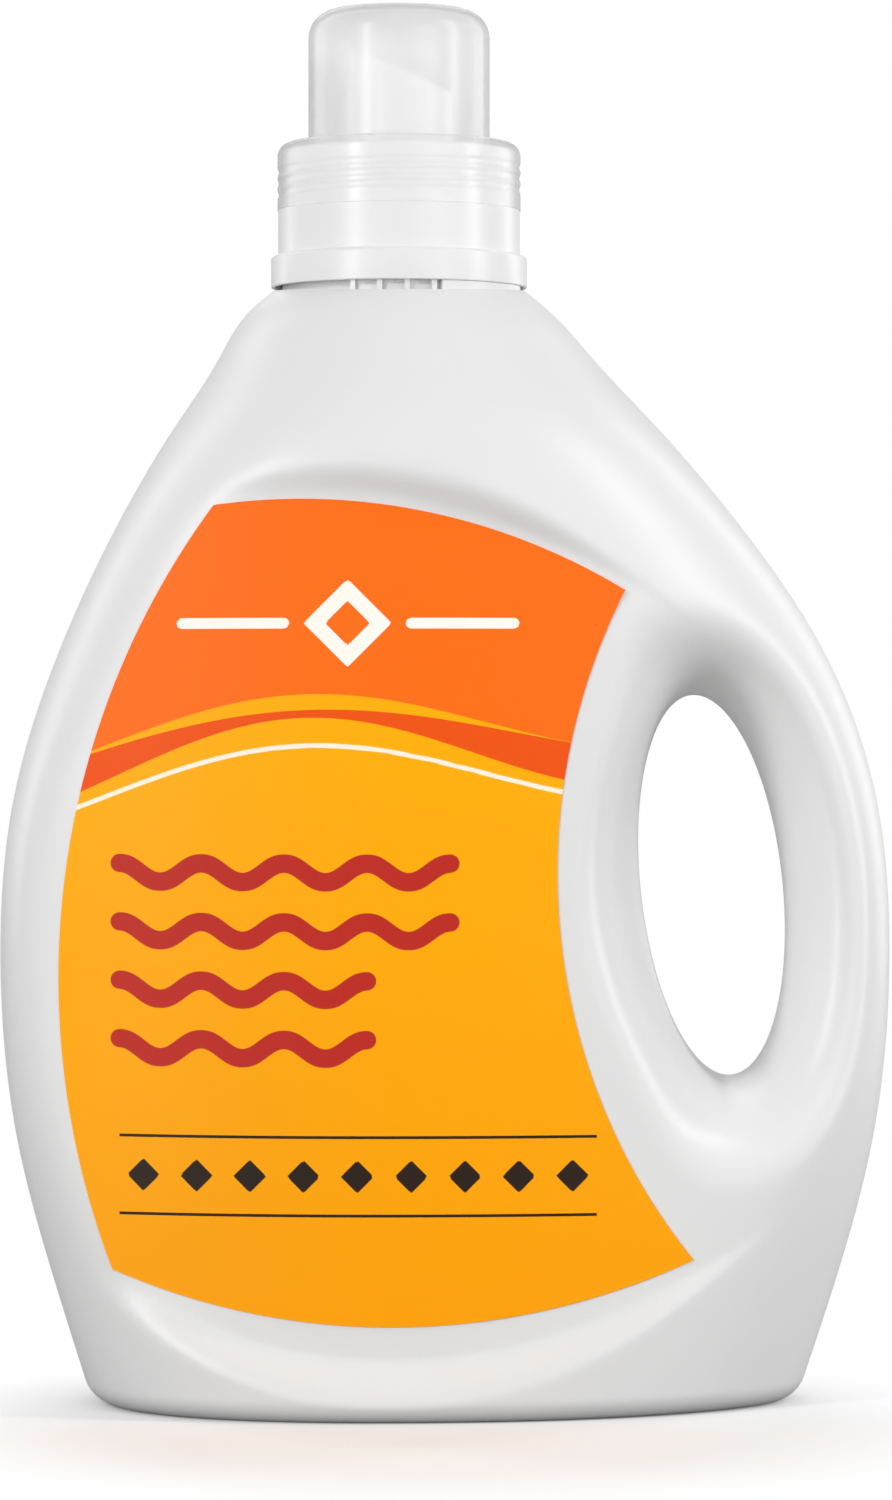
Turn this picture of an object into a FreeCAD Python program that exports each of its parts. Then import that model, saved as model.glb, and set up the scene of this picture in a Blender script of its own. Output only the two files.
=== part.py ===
import FreeCAD, Part
import math
import os
import Sketcher

# A laundry detergent bottle of about two and a half litres.
# It is one blow-moulded skin with a hollow handle, a pour spout snapped on its neck,
# a cap that is also the measuring cup, and a label in a shallow panel on each face.
# +X points to the handle, -Y is the front, and the origin is under the middle of the bottle.

Vector = FreeCAD.Vector
doc = FreeCAD.newDocument("detergent_bottle")
sheet = doc.addObject("Spreadsheet::Sheet", "sizes")

# Level outlines of the skin, from the foot up: height, half width, sideways shift of the middle,
# half depth, roundness (2 is an ellipse, more is squarer) and how much it narrows at the handle end.
LEVELS = {
    "foot": (0, 74.4, -0.2, 55.4, 2.5, 0.35),
    "hip": (25, 82.5, 0, 56, 2.5, 0.37),
    "thigh": (55, 90.4, 0, 56.8, 2.55, 0.41),
    "belly": (94, 93.95, 0, 57.3, 2.6, 0.45),
    "chest": (127, 91.15, 0, 57, 2.6, 0.45),
    "arch": (160, 79.85, -0.9, 55.6, 2.6, 0.42),
    "brow": (190, 62.1, -4.2, 52.9, 2.6, 0.3),
    "slope": (205, 51.2, -6.2, 47.6, 2.35, 0.18),
    "throat": (220, 39.5, -8.4, 37.4, 2.1, 0.06),
    "crown": (231, 30.6, -9.8, 29.8, 2, 0),
    "land": (234, 26.9, -9.85, 26.9, 2, 0),
}
QUANTITIES = ("height", "half_width", "shift", "half_depth", "roundness", "taper")

SIZES = {
    # The blown skin.
    "skin_wall": 0.9,
    "heel_round": 3,
    "pushup_margin": 12,
    "pushup_depth": 2.5,
    "pushup_run": 5,
    # The handle hole: a leaning ellipse at the parting line that opens into a funnel on each face.
    # A funnel rate is how far the edge has moved outwards at 1 mm from the parting line.
    "grip_width": 22.55,
    "hole_height": 108.5,
    "hole_half_width": 15.05,
    "hole_half_height": 40.45,
    "hole_lean": 6.1,
    "rate_to_body": 0.0052,
    "rate_to_grip": 0.0353,
    "rate_up": 0.0092,
    "rate_down": 0.0105,
    # The label panel: two tangent arcs seen from above, with a sloping ledge above and below.
    "panel_x": -15,
    "panel_recess": 9.9,
    "panel_radius_left": 155,
    "panel_radius_right": 235,
    "panel_top_drop": 43.3,
    "panel_top_x": -30,
    "panel_top_radius": 122,
    "panel_bottom_rise": 11.6,
    "panel_bottom_x": -11,
    "panel_bottom_radius": 114,
    "upper_ledge_slope": 2.2,
    "lower_ledge_slope": 1,
    # The label: a sheet with four curved edges, lying in the panel.
    "label_thickness": 0.15,
    "glue_film": 0.1,
    "label_top_margin": 2.3,
    "label_top_radius": 130,
    "label_bottom_margin": 7.7,
    "label_bottom_radius": 155,
    "label_left_margin": 14.05,
    "label_left_height": 90,
    "label_left_radius": 162,
    "label_right_margin": 18.4,
    "label_right_height": 112,
    "label_right_radius": 127,
    # The neck, round an axis of its own, with a snap bead, and on each side four stop lugs and a sill.
    "neck_bore": 21.6,
    "neck_radius": 23.7,
    "neck_root_radius": 24.7,
    "neck_root_rise": 2.2,
    "neck_rise": 15.2,
    "bead_radius": 24.4,
    "bead_drop": 4.2,
    "bead_width": 2,
    "lug_radius": 25.9,
    "lug_rise": 2.4,
    "lug_first": -22.4,
    "lug_pitch": 12.7,
    "lug_sweep": 8,
    "sill_radius": 25.6,
    "sill_rise": 1.3,
    "sill_first": 20.4,
    "sill_sweep": 54,
    # The pour spout: a collar that snaps over the bead, a trough that drains back and a slanted spout.
    "fit_gap": 0.3,
    "seat_gap": 0.9,
    "flange_radius": 27.1,
    "flange_height": 6.6,
    "band_radius": 25.6,
    "deck_wall": 2,
    "ring_radius": 23.5,
    "ring_wall": 1.4,
    "plug_wall": 1.2,
    "trough_drop": 8.4,
    "trough_wall": 1.2,
    "spout_radius": 11.3,
    "spout_wall": 1.1,
    "spout_high": 34,
    "spout_low": 24.5,
    "drain_width": 5,
    "drain_height": 5,
    # The dosing cap: a measuring cup standing on its rim, with a skirt round the collar's ring.
    "cup_radius": 19.2,
    "cup_wall": 1.2,
    "cup_height": 50,
    "cup_round": 6,
    "cup_inner_round": 5,
    "rim_gap": 3,
    "skirt_radius": 25.75,
    "skirt_wall": 1.3,
    "skirt_height": 14,
    "skirt_round": 2.8,
    "seam_gap": 0.35,
    "cap_deck_wall": 1.6,
}

# Places that follow from the sizes above, as formulas in the same sheet.
DERIVED = {
    "hole_x": "=belly_half_width - grip_width - hole_half_width",
    "panel_depth": "=belly_half_depth - panel_recess",
    "panel_left": "=-belly_half_width",
    "panel_right": "=hole_x + hole_half_width",
    "panel_top": "=land_height - panel_top_drop",
    "panel_bottom": "=foot_height + panel_bottom_rise",
    "label_top": "=panel_top - label_top_margin",
    "label_bottom": "=panel_bottom + label_bottom_margin",
    "label_left": "=label_left_margin - belly_half_width",
    "label_right": "=hole_x - hole_half_width - label_right_margin",
    "neck_x": "=land_shift",
    "neck_foot": "=land_height - skin_wall",
    "neck_root_top": "=land_height + neck_root_rise",
    "neck_top": "=land_height + neck_rise",
    "bead_top": "=neck_top - bead_drop",
    "bead_bottom": "=bead_top - bead_width",
    "flange_bottom": "=land_height + seat_gap",
    "flange_top": "=flange_bottom + flange_height",
    "flange_bore": "=lug_radius + fit_gap",
    "flange_roof": "=land_height + lug_rise + fit_gap",
    "band_bore": "=neck_radius + fit_gap",
    "groove_radius": "=bead_radius + fit_gap",
    "groove_bottom": "=bead_bottom - fit_gap",
    "groove_top": "=bead_top + fit_gap",
    "deck_top": "=neck_top + deck_wall",
    "ring_bore": "=ring_radius - ring_wall",
    "plug_radius": "=neck_bore - fit_gap",
    "plug_bore": "=plug_radius - plug_wall",
    "trough_floor": "=neck_top - trough_drop",
    "trough_under": "=trough_floor - trough_wall",
    "spout_bore": "=spout_radius - spout_wall",
    "lip_high": "=deck_top + spout_high",
    "lip_low": "=deck_top + spout_low",
    "seam": "=deck_top + seam_gap",
    "cap_deck_top": "=seam + skirt_height",
    "cap_deck_under": "=cap_deck_top - cap_deck_wall",
    "cup_rim": "=trough_floor + rim_gap",
    "cup_top": "=cup_rim + cup_height",
    "cup_roof": "=cup_top - cup_wall",
    "cup_bore": "=cup_radius - cup_wall",
    "skirt_bore": "=skirt_radius - skirt_wall",
}

row = 1
for level, numbers in LEVELS.items():
    for quantity, number in zip(QUANTITIES, numbers):
        SIZES[level + "_" + quantity] = number
for alias, content in list(SIZES.items()) + list(DERIVED.items()):
    sheet.set("A%d" % row, alias)
    sheet.set("B%d" % row, str(content))
    sheet.setAlias("B%d" % row, alias)
    row += 1
doc.recompute()


def size(alias):
    """The number that the sheet holds for a name."""
    return float(getattr(sheet, alias))


def spline(places, values):
    """A natural cubic spline through the values, as a function of the place."""
    count = len(places)
    step = [places[i + 1] - places[i] for i in range(count - 1)]
    slope = [(values[i + 1] - values[i]) / step[i] for i in range(count - 1)]
    diagonal = [1.0] * count
    upper = [0.0] * count
    bend = [0.0] * count
    for i in range(1, count - 1):
        weight = step[i - 1] / diagonal[i - 1] if i > 1 else 0.0
        diagonal[i] = 2 * (step[i - 1] + step[i]) - weight * upper[i - 1]
        upper[i] = step[i]
        bend[i] = 6 * (slope[i] - slope[i - 1]) - weight * bend[i - 1]
    for i in range(count - 2, 0, -1):
        bend[i] = (bend[i] - upper[i] * bend[i + 1]) / diagonal[i]

    def at(place):
        i = max(k for k in range(count - 1) if k == 0 or places[k] <= place)
        a = (places[i + 1] - place) / step[i]
        b = 1 - a
        curve = (a ** 3 - a) * bend[i] + (b ** 3 - b) * bend[i + 1]
        return a * values[i] + b * values[i + 1] + curve * step[i] ** 2 / 6

    return at


heights = [size(level + "_height") for level in LEVELS]
profile = {}
for quantity in QUANTITIES[1:]:
    profile[quantity] = spline(heights, [size(level + "_" + quantity) for level in LEVELS])


def closed_curve(points):
    """A smooth closed wire through evenly counted points."""
    count = len(points)
    curve = Part.BSplineCurve()
    curve.interpolate(Points=points, PeriodicFlag=True, Parameters=[k / count for k in range(count + 1)])
    return Part.Wire(curve.toShape())


def level_ring(height, inset, lifted=None):
    """One level outline of the skin as a closed wire: a superellipse in polar form, narrower at +X."""
    points = []
    steps = 48
    power = profile["roundness"](height)
    half_width = profile["half_width"](height)
    half_depth = profile["half_depth"](height)
    for k in range(steps):
        turn = 2 * math.pi * k / steps
        reach = (abs(math.cos(turn)) ** power + abs(math.sin(turn)) ** power) ** (-1 / power)
        along = reach * math.cos(turn)
        narrowing = 1 - profile["taper"](height) * ((1 + along) / 2) ** 3
        x = profile["shift"](height) + along * (half_width - inset)
        y = reach * math.sin(turn) * (half_depth * narrowing - inset)
        points.append(Vector(x, y, height if lifted is None else lifted))
    return closed_curve(points)


def blown_skin(inset, floor, roof):
    """The skin's outer or inner face as a solid, without its hole and panels."""
    rings = [level_ring(floor, inset)]
    for low, high in zip(heights, heights[1:]):
        for height in ((low + high) / 2, high):
            if floor + 1 < height < roof - 0.5:
                rings.append(level_ring(height, inset))
    rings.append(level_ring(roof, inset))
    return Part.makeLoft(rings, True, False)


def funnel(growth):
    """The space of the handle hole: a leaning ellipse that widens with the square of the depth."""
    steps = 40
    slices = 7
    reach = size("belly_half_depth")
    lean = math.radians(size("hole_lean"))
    half_width = size("hole_half_width") + growth
    half_height = size("hole_half_height") + growth
    grip, body = size("rate_to_grip"), size("rate_to_body")
    up, down = size("rate_up"), size("rate_down")
    wires = []
    for k in range(-slices, slices + 1):
        y = reach * k / slices
        points = []
        for j in range(steps):
            turn = 2 * math.pi * j / steps
            rate = (grip + body + up + down) / 4 + (grip - body) / 2 * math.cos(turn)
            rate += (up - down) / 2 * math.sin(turn) + (grip + body - up - down) / 4 * math.cos(2 * turn)
            normal = Vector(half_height * math.cos(turn), 0, half_width * math.sin(turn)).normalize()
            edge = Vector(half_width * math.cos(turn), 0, half_height * math.sin(turn))
            edge += normal * rate * y * y
            points.append(Vector(edge.x * math.cos(lean) - edge.z * math.sin(lean), y,
                                 edge.z * math.cos(lean) + edge.x * math.sin(lean)))
        wires.append(closed_curve(points))
    space = Part.makeLoft(wires, True, False)
    space.translate(Vector(size("hole_x"), 0, size("hole_height")))
    return space


def panel_reading(x, inset):
    """The panel's depth at a place along X: an arc on each side of the panel's middle."""
    side = "panel_radius_left" if x < size("panel_x") else "panel_radius_right"
    radius = size(side) - inset
    return size("panel_depth") - inset - radius + math.sqrt(radius ** 2 - (x - size("panel_x")) ** 2)


def arch(name, x):
    """How far an arched ledge has left its crest at a place along X: a parabola of that radius there."""
    return (x - size(name + "_x")) ** 2 / (2 * size(name + "_radius"))


def panel_slab(start, thickness, inset):
    """What lies between two depths in front of the panel's arcs, as tall as the skin."""
    left, middle, right = size("panel_left"), size("panel_x"), size("panel_right")
    rims = []
    for ahead in (start, start + thickness):
        places = (left, (left + middle) / 2, middle, (middle + right) / 2, right)
        points = [Vector(x, -panel_reading(x, inset) - ahead, 0) for x in places]
        rims.append([Part.Arc(*points[0:3]).toShape(), Part.Arc(*points[2:5]).toShape()])
    near, far = rims
    left_end = Part.makeLine(near[0].Vertexes[0].Point, far[0].Vertexes[0].Point)
    right_end = Part.makeLine(near[1].Vertexes[-1].Point, far[1].Vertexes[-1].Point)
    face = Part.Face(Part.Wire([left_end] + far + [right_end] + near[::-1]))
    return face.extrude(Vector(0, 0, size("land_height")))


def panel_space(inset):
    """The space in front of the front panel, between its sloping ledges."""
    steps = 14
    spare = 2
    left, right = size("panel_left") - spare, size("panel_right") + spare
    depth = size("belly_half_depth") / 2
    up, down = size("upper_ledge_slope"), size("lower_ledge_slope")
    wires = []
    for k in range(steps + 1):
        x = left + (right - left) * k / steps
        top = size("panel_top") - arch("panel_top", x) + inset * up
        bottom = size("panel_bottom") + arch("panel_bottom", x) - inset * down
        near = panel_reading(x, inset)
        corners = []
        for ahead, edges in ((-spare, (bottom + spare * down, top - spare * up)),
                             (depth + spare, (top + (depth + spare) * up, bottom - (depth + spare) * down))):
            corners += [Vector(x, -near - ahead, edge) for edge in edges]
        wires.append(Part.makePolygon(corners + corners[:1]))
    return Part.makeLoft(wires, True, False).common(panel_slab(0, depth, inset))


def pushup(inset):
    """The hollow under the base, with sloping sides."""
    low = level_ring(size("foot_height"), size("pushup_margin") - inset)
    high = level_ring(size("foot_height"), size("pushup_margin") - inset + size("pushup_run"),
                      size("foot_height") + size("pushup_depth") + inset)
    return Part.makeLoft([low, high], True, True)


def rounded_heel(shape):
    """The skin with the edge round its flat foot made round."""
    edges = [edge for edge in shape.Edges
             if edge.isClosed() and abs(edge.CenterOfMass.z - size("foot_height")) < size("skin_wall")]
    return shape.makeFillet(size("heel_round"), edges)


def feature(name, shape):
    """A document object that holds a free-form shape."""
    if not shape.Solids:
        raise RuntimeError("%s is empty" % name)
    held = doc.addObject("Part::Feature", name)
    held.Shape = shape
    return held


def cut(name, base, tool):
    """One object less another."""
    result = doc.addObject("Part::Cut", name)
    result.Base = base
    result.Tool = tool
    return result


def join(kind, name, shapes):
    """Several objects fused, or what they share."""
    result = doc.addObject("Part::Multi" + kind, name)
    result.Shapes = shapes
    return result


def mirrored(name, source):
    """An object seen in the mirror of the parting plane."""
    result = doc.addObject("Part::Mirroring", name)
    result.Source = source
    result.Normal = Vector(0, 1, 0)
    return result


def bind(thing, **formulas):
    """Ties an object's properties to formulas of the sheet's names."""
    for name, formula in formulas.items():
        thing.setExpression(name.replace("__", "."), formula)
    return thing


def sketch_outline(body, name, corners):
    """A closed sketch in the body's XZ plane whose corners are tied to pairs of formulas."""
    sketch = body.newObject("Sketcher::SketchObject", name)
    plane = next(item for item in body.Origin.OriginFeatures if item.Role == "XZ_Plane")
    sketch.AttachmentSupport = (plane, [""])
    sketch.MapMode = "FlatFace"
    places = [Vector(*(float(sheet.evalExpression(formula)) for formula in corner), 0) for corner in corners]
    for start, end in zip(places, places[1:] + places[:1]):
        sketch.addGeometry(Part.LineSegment(start, end), False)
    for k in range(len(corners)):
        sketch.addConstraint(Sketcher.Constraint("Coincident", k - 1 if k else len(corners) - 1, 2, k, 1))
    for k, corner in enumerate(corners):
        for kind, formula, place in zip(("DistanceX", "DistanceY"), corner, (places[k].x, places[k].y)):
            if formula == "0":
                sketch.addConstraint(Sketcher.Constraint("PointOnObject", k, 1, -2))
                continue
            constraint = sketch.addConstraint(Sketcher.Constraint(kind, -1, 1, k, 1, place))
            sketch.setExpression("Constraints[%d]" % constraint, formula)
    return sketch


def turned_body(name, corners):
    """A body turned round the neck's axis from an outline of radius and height pairs."""
    body = doc.addObject("PartDesign::Body", name)
    bind(body, Placement__Base__x="sizes.neck_x")
    pairs = [tuple("0" if alias == "0" else "sizes." + alias for alias in corner) for corner in corners]
    sketch = sketch_outline(body, name + "_outline", pairs)
    turning = body.newObject("PartDesign::Revolution", name + "_turned")
    turning.Profile = sketch
    turning.ReferenceAxis = (sketch, ["V_Axis"])
    turning.Angle = 360
    doc.recompute()
    return body


def round_edges(body, name, radius_name, places):
    """Rounds the circular edges of a turned body that lie at these radius and height pairs."""
    base = body.Tip
    near = 0.01
    names = []
    for index, edge in enumerate(base.Shape.Edges):
        ring = edge.Curve
        if not isinstance(ring, Part.Circle):
            continue
        for radius, height in places:
            if abs(ring.Radius - size(radius)) < near and abs(ring.Center.z - size(height)) < near:
                names.append("Edge%d" % (index + 1))
    rounding = body.newObject("PartDesign::Fillet", name)
    rounding.Base = (base, names)
    bind(rounding, Radius="sizes." + radius_name)
    doc.recompute()


def lug_ring():
    """The stop lugs and the sill on the neck's root, on the front and turned half round on the back."""
    root = size("neck_root_radius")
    sunk = root - size("skin_wall")
    foot = size("neck_foot")

    def spot(radius, turn):
        return Vector(radius * math.sin(turn), -radius * math.cos(turn), foot)

    solids = []
    for k in range(4):
        first = math.radians(size("lug_first") + k * size("lug_pitch"))
        last = first + math.radians(size("lug_sweep"))
        corners = [spot(sunk, first), spot(size("lug_radius"), first), spot(root, last), spot(sunk, last)]
        face = Part.Face(Part.makePolygon(corners + corners[:1]))
        solids.append(face.extrude(Vector(0, 0, size("skin_wall") + size("lug_rise"))))
    height = size("skin_wall") + size("sill_rise")
    base, up = Vector(0, 0, foot), Vector(0, 0, 1)
    sill = Part.makeCylinder(size("sill_radius"), height, base, up, size("sill_sweep"))
    sill = sill.cut(Part.makeCylinder(sunk, height, base, up))
    sill.rotate(base, up, size("sill_first") - 90)
    solids.append(sill)
    ring = solids[0].multiFuse(solids[1:])
    ring = ring.fuse(ring.rotated(base, up, 180))
    ring.translate(Vector(size("neck_x"), 0, 0))
    return ring


def through_cut(body, name, corners, width):
    """A pocket through a body, both ways from its XZ plane, inside an outline of formula pairs."""
    sketch = sketch_outline(body, name + "_outline", corners)
    pocket = body.newObject("PartDesign::Pocket", name)
    pocket.Profile = sketch
    pocket.Midplane = True
    bind(pocket, Length=width)
    doc.recompute()


# The blown bottle: skin, handle hole, panels and base hollow, less the space for the liquid.
wall = size("skin_wall")
skin = blown_skin(0, size("foot_height"), size("land_height"))
outside = feature("skin_outside", rounded_heel(skin))
inside = feature("skin_inside", blown_skin(wall, size("foot_height") + wall, size("land_height") - wall))


def hollows(ending, inset):
    """The handle hole, both panels and the base hollow together, grown by the inset."""
    front = feature("front_panel" + ending, panel_space(inset))
    back = mirrored("back_panel" + ending, front)
    hole = feature("handle_hole" + ending, funnel(inset))
    base = feature("base_hollow" + ending, pushup(inset))
    return join("Fuse", "hollows" + ending, [hole, front, back, base])


form = cut("bottle_form", outside, hollows("", 0))
liquid_space = cut("liquid_space", inside, hollows("_wall", wall))
shell = cut("shell", form, liquid_space)
mouth = doc.addObject("Part::Cylinder", "mouth")
bind(mouth, Radius="sizes.neck_bore", Height="sizes.neck_rise", Placement__Base__x="sizes.neck_x",
     Placement__Base__z="sizes.land_height - sizes.neck_rise / 2")
neck = turned_body("neck", [
    ("neck_bore", "neck_foot"), ("neck_root_radius", "neck_foot"), ("neck_root_radius", "neck_root_top"),
    ("neck_radius", "neck_root_top"), ("neck_radius", "bead_bottom"), ("bead_radius", "bead_bottom"),
    ("bead_radius", "bead_top"), ("neck_radius", "bead_top"), ("neck_radius", "neck_top"),
    ("neck_bore", "neck_top")])
bottle = join("Fuse", "bottle", [cut("open_shell", shell, mouth), neck, feature("lugs", lug_ring())])

# The pour spout, turned from one outline, then cut slanting and drained on the handle side.
spout = turned_body("pour_spout", [
    ("spout_bore", "trough_under"), ("plug_radius", "trough_under"), ("plug_radius", "neck_top"),
    ("band_bore", "neck_top"), ("band_bore", "groove_top"), ("groove_radius", "groove_top"),
    ("groove_radius", "groove_bottom"), ("band_bore", "groove_bottom"), ("band_bore", "flange_roof"),
    ("flange_bore", "flange_roof"), ("flange_bore", "flange_bottom"), ("flange_radius", "flange_bottom"),
    ("flange_radius", "flange_top"), ("band_radius", "flange_top"), ("band_radius", "deck_top"),
    ("ring_radius", "deck_top"), ("ring_radius", "cap_deck_under"), ("ring_bore", "cap_deck_under"),
    ("ring_bore", "deck_top"), ("plug_bore", "deck_top"), ("plug_bore", "trough_floor"),
    ("spout_radius", "trough_floor"), ("spout_radius", "lip_high"), ("spout_bore", "lip_high")])
slant = [("-sizes.spout_radius", "sizes.lip_high"), ("sizes.spout_radius", "sizes.lip_low"),
         ("sizes.spout_radius", "sizes.lip_high + sizes.spout_wall"),
         ("-sizes.spout_radius", "sizes.lip_high + sizes.spout_wall")]
through_cut(spout, "slanted_lip", slant, "2 * sizes.spout_radius + sizes.spout_wall")
drain = [("sizes.spout_bore - sizes.spout_wall", "sizes.trough_floor"),
         ("sizes.spout_radius + sizes.spout_wall", "sizes.trough_floor"),
         ("sizes.spout_radius + sizes.spout_wall", "sizes.trough_floor + sizes.drain_height"),
         ("sizes.spout_bore - sizes.spout_wall", "sizes.trough_floor + sizes.drain_height")]
through_cut(spout, "drain_back", drain, "sizes.drain_width")

# The dosing cap, a cup upside down with its skirt round the collar's ring.
cap = turned_body("dosing_cap", [
    ("0", "cup_roof"), ("cup_bore", "cup_roof"), ("cup_bore", "cup_rim"), ("cup_radius", "cup_rim"),
    ("cup_radius", "cap_deck_under"), ("skirt_bore", "cap_deck_under"), ("skirt_bore", "seam"),
    ("skirt_radius", "seam"), ("skirt_radius", "cap_deck_top"), ("cup_radius", "cap_deck_top"),
    ("cup_radius", "cup_top"), ("0", "cup_top")])
round_edges(cap, "cup_top_round", "cup_round", [("cup_radius", "cup_top")])
round_edges(cap, "cup_roof_round", "cup_inner_round", [("cup_bore", "cup_roof")])
round_edges(cap, "skirt_top_round", "skirt_round", [("skirt_radius", "cap_deck_top")])

# The labels: a thin sheet on the panel's arcs, trimmed by three discs and hollowed by a fourth.
label_sheet = feature("label_sheet", panel_slab(size("glue_film"), size("label_thickness"), 0))
discs = {}
for edge, across, up in (
        ("label_top", "sizes.panel_top_x", "sizes.label_top - sizes.label_top_radius"),
        ("label_bottom", "sizes.panel_bottom_x", "sizes.label_bottom + sizes.label_bottom_radius"),
        ("label_left", "sizes.label_left + sizes.label_left_radius", "sizes.label_left_height"),
        ("label_right", "sizes.label_right + sizes.label_right_radius", "sizes.label_right_height")):
    disc = doc.addObject("Part::Cylinder", edge + "_disc")
    disc.Placement.Rotation = FreeCAD.Rotation(Vector(1, 0, 0), 90)
    bind(disc, Radius="sizes.%s_radius" % edge, Height="2 * sizes.belly_half_depth",
         Placement__Base__x=across, Placement__Base__z=up)
    discs[edge] = disc
trimmed = label_sheet
for edge in ("label_top", "label_bottom", "label_left"):
    trimmed = join("Common", edge + "_trim", [trimmed, discs[edge]])
front_label = cut("front_label", trimmed, discs["label_right"])
back_label = mirrored("back_label", front_label)

doc.recompute()
pieces = [bottle, spout, cap, front_label, back_label]
for item in doc.Objects:
    if "Invalid" in item.State or "Error" in item.State:
        raise RuntimeError("%s did not build" % item.Name)
for piece in pieces:
    if piece.Shape.isNull() or not piece.Shape.isValid():
        raise RuntimeError("%s has no valid shape" % piece.Label)

os.makedirs("parts", exist_ok=True)
for piece in pieces:
    piece.Shape.exportStep(os.path.join("parts", piece.Label + ".step"))
    print(piece.Label, len(piece.Shape.Solids), "solid", round(piece.Shape.Volume / 1000, 2), "cm3")
print("The liquid space holds", round(liquid_space.Shape.Volume / 1e6, 3), "litres")
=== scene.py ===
import bmesh
import bpy
import math
import numpy as np
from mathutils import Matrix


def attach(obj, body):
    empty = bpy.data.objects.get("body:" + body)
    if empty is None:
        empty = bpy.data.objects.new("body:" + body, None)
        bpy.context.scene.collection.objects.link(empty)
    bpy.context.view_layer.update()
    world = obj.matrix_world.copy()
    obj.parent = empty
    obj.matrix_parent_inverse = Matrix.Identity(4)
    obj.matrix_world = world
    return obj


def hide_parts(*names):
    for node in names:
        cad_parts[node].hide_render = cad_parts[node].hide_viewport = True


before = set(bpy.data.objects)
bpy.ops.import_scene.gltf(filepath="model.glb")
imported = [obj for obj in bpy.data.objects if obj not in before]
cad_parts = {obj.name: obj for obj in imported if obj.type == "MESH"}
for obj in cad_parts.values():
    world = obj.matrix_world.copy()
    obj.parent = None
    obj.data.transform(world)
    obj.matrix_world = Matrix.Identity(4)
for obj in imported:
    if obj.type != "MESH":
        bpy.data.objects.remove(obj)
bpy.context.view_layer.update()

# A laundry detergent bottle: a satin blow-moulded skin with a through handle, a snapped-on pour spout,
# a translucent dosing cap and a printed film label on each face. Shapes are worked out in millimetres.
MM = 0.001
MERGE_WITHIN, DROP_UNDER = 0.002 * MM, 0.001 * MM

# The skin's level outlines, from the foot up: height, half width, sideways shift of the middle,
# half depth, roundness (2 is an ellipse, more is squarer) and how much it narrows at the handle end.
LEVELS = np.array([
    (0, 74.4, -0.2, 55.4, 2.5, 0.35),
    (25, 82.5, 0, 56, 2.5, 0.37),
    (55, 90.4, 0, 56.8, 2.55, 0.41),
    (94, 93.95, 0, 57.3, 2.6, 0.45),
    (127, 91.15, 0, 57, 2.6, 0.45),
    (160, 79.85, -0.9, 55.6, 2.6, 0.42),
    (190, 62.1, -4.2, 52.9, 2.6, 0.3),
    (205, 51.2, -6.2, 47.6, 2.35, 0.18),
    (220, 39.5, -8.4, 37.4, 2.1, 0.06),
    (231, 30.6, -9.8, 29.8, 2, 0),
    (234, 26.9, -9.85, 26.9, 2, 0),
])
FOOT, LAND = LEVELS[0, 0], LEVELS[-1, 0]
WALL = 0.9
HEEL = 4.6
HOLLOW_MARGIN, HOLLOW_RUN, HOLLOW_DEPTH = 12.0, 7.0, 2.5
DIP_START, SHOULDER_DIP = 218.0, 1.3

# The handle hole: a leaning ellipse at the parting plane, whose funnel opens with the square of the depth,
# at a rate of its own towards each side.
HOLE_X, HOLE_Z, HOLE_ACROSS, HOLE_UP = 56.35, 108.5, 15.05, 40.45
HOLE_LEAN = math.radians(6.1)
RATE_BODY, RATE_GRIP, RATE_UP, RATE_DOWN = 0.0052, 0.0353, 0.0092, 0.0105

# The label panel: two arcs seen from above, between an upper and a lower sloping ledge.
PANEL_X, PANEL_DEPTH, PANEL_LEFT_RADIUS, PANEL_RIGHT_RADIUS = -15.0, 47.4, 155.0, 235.0
UPPER_LEDGE = {"crest": 190.7, "x": -30.0, "radius": 122.0, "slope": 1.3}
LOWER_LEDGE = {"crest": 11.6, "x": -11.0, "radius": 114.0, "slope": 1.0}

# Roundings where two surfaces meet: the panel's crest, the funnel's crest at its sides and what is added
# at its ends, and a ledge's foot.
PANEL_CREST, FUNNEL_CREST, FUNNEL_CREST_MORE, LEDGE_FOOT = 3.0, 10.0, 4.0, 1.2

# The label: four curved edges, a film's thickness and the glue under it.
LABEL_TOP, LABEL_TOP_RADIUS = 188.4, 130.0
LABEL_BOTTOM, LABEL_BOTTOM_RADIUS = 19.3, 155.0
LABEL_LEFT, LABEL_LEFT_Z, LABEL_LEFT_RADIUS = -79.9, 90.0, 162.0
LABEL_RIGHT, LABEL_RIGHT_Z, LABEL_RIGHT_RADIUS = 22.9, 112.0, 127.0
LABEL_GLUE, LABEL_FILM = 0.1, 0.15
LABEL_MIDDLE = 112.0

# The printed design: a wave between two colour fields with a ribbon and a line under it, a lozenge between
# bars above, and ripples and a row of beads between rules below. The back has a ruled panel instead of these.
WAVE_Z, WAVE_SWING, WAVE_LEFT, WAVE_RUN, WAVE_CLIMB = 138, 8, -70, 25, 0.06
RIBBON_BELOW, RIBBON_HALF, RIBBON_SWELL, RIBBON_RUN = 4, 2.4, 1.6, 19
LINE_BELOW, LINE_HALF = 10.5, 0.5
MARK_X, MARK_Z, MARK_HALF, HEART_HALF = -20, 163, 9, 4.6
BAR_START, BAR_END, BAR_WIDTH = 13, 34, 2.2
RIPPLE_LEFT, RIPPLE_LENGTHS, RIPPLE_TOP, RIPPLE_PITCH = -67, (68, 68, 51, 51), 112, 12
RIPPLE_WIDTH, RIPPLE_SWING, RIPPLE_PERIOD = 3.8, 1.9, 17
BEAD_LEFT, BEAD_PITCH, BEAD_COUNT, BEAD_Z, BEAD_HALF = -62, 11, 9, 50, 3.4
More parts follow.
